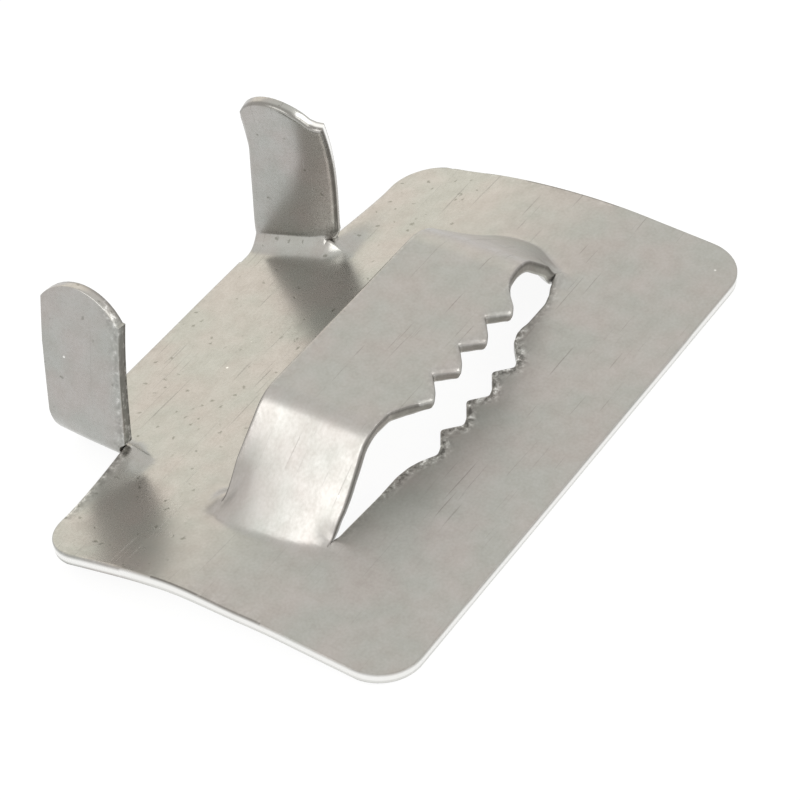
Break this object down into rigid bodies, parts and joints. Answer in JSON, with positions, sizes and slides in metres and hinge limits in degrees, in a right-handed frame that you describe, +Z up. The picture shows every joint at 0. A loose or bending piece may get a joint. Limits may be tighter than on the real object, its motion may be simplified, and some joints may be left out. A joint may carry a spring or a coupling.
{
  "type": "steel strapping seal",
  "caption": "Pressed sheet-steel seal for steel strapping: curved plate, raised toothed bridge and a pair of upright wings.",
  "frame": {"origin": "centre of the seal's box at the height of the surface it lies on", "axes": "+X along the seal's long edge, across the strap; +Y along the strap, from the front edge to the wings; +Z up"},
  "size_m": [0.0364, 0.0272, 0.0117],
  "materials": {
    "stainless_sheet": "satin, tumbled"
  },
  "bodies": {
    "root": {"strapping_seal": "stainless_sheet"}
  },
  "joints": []
}
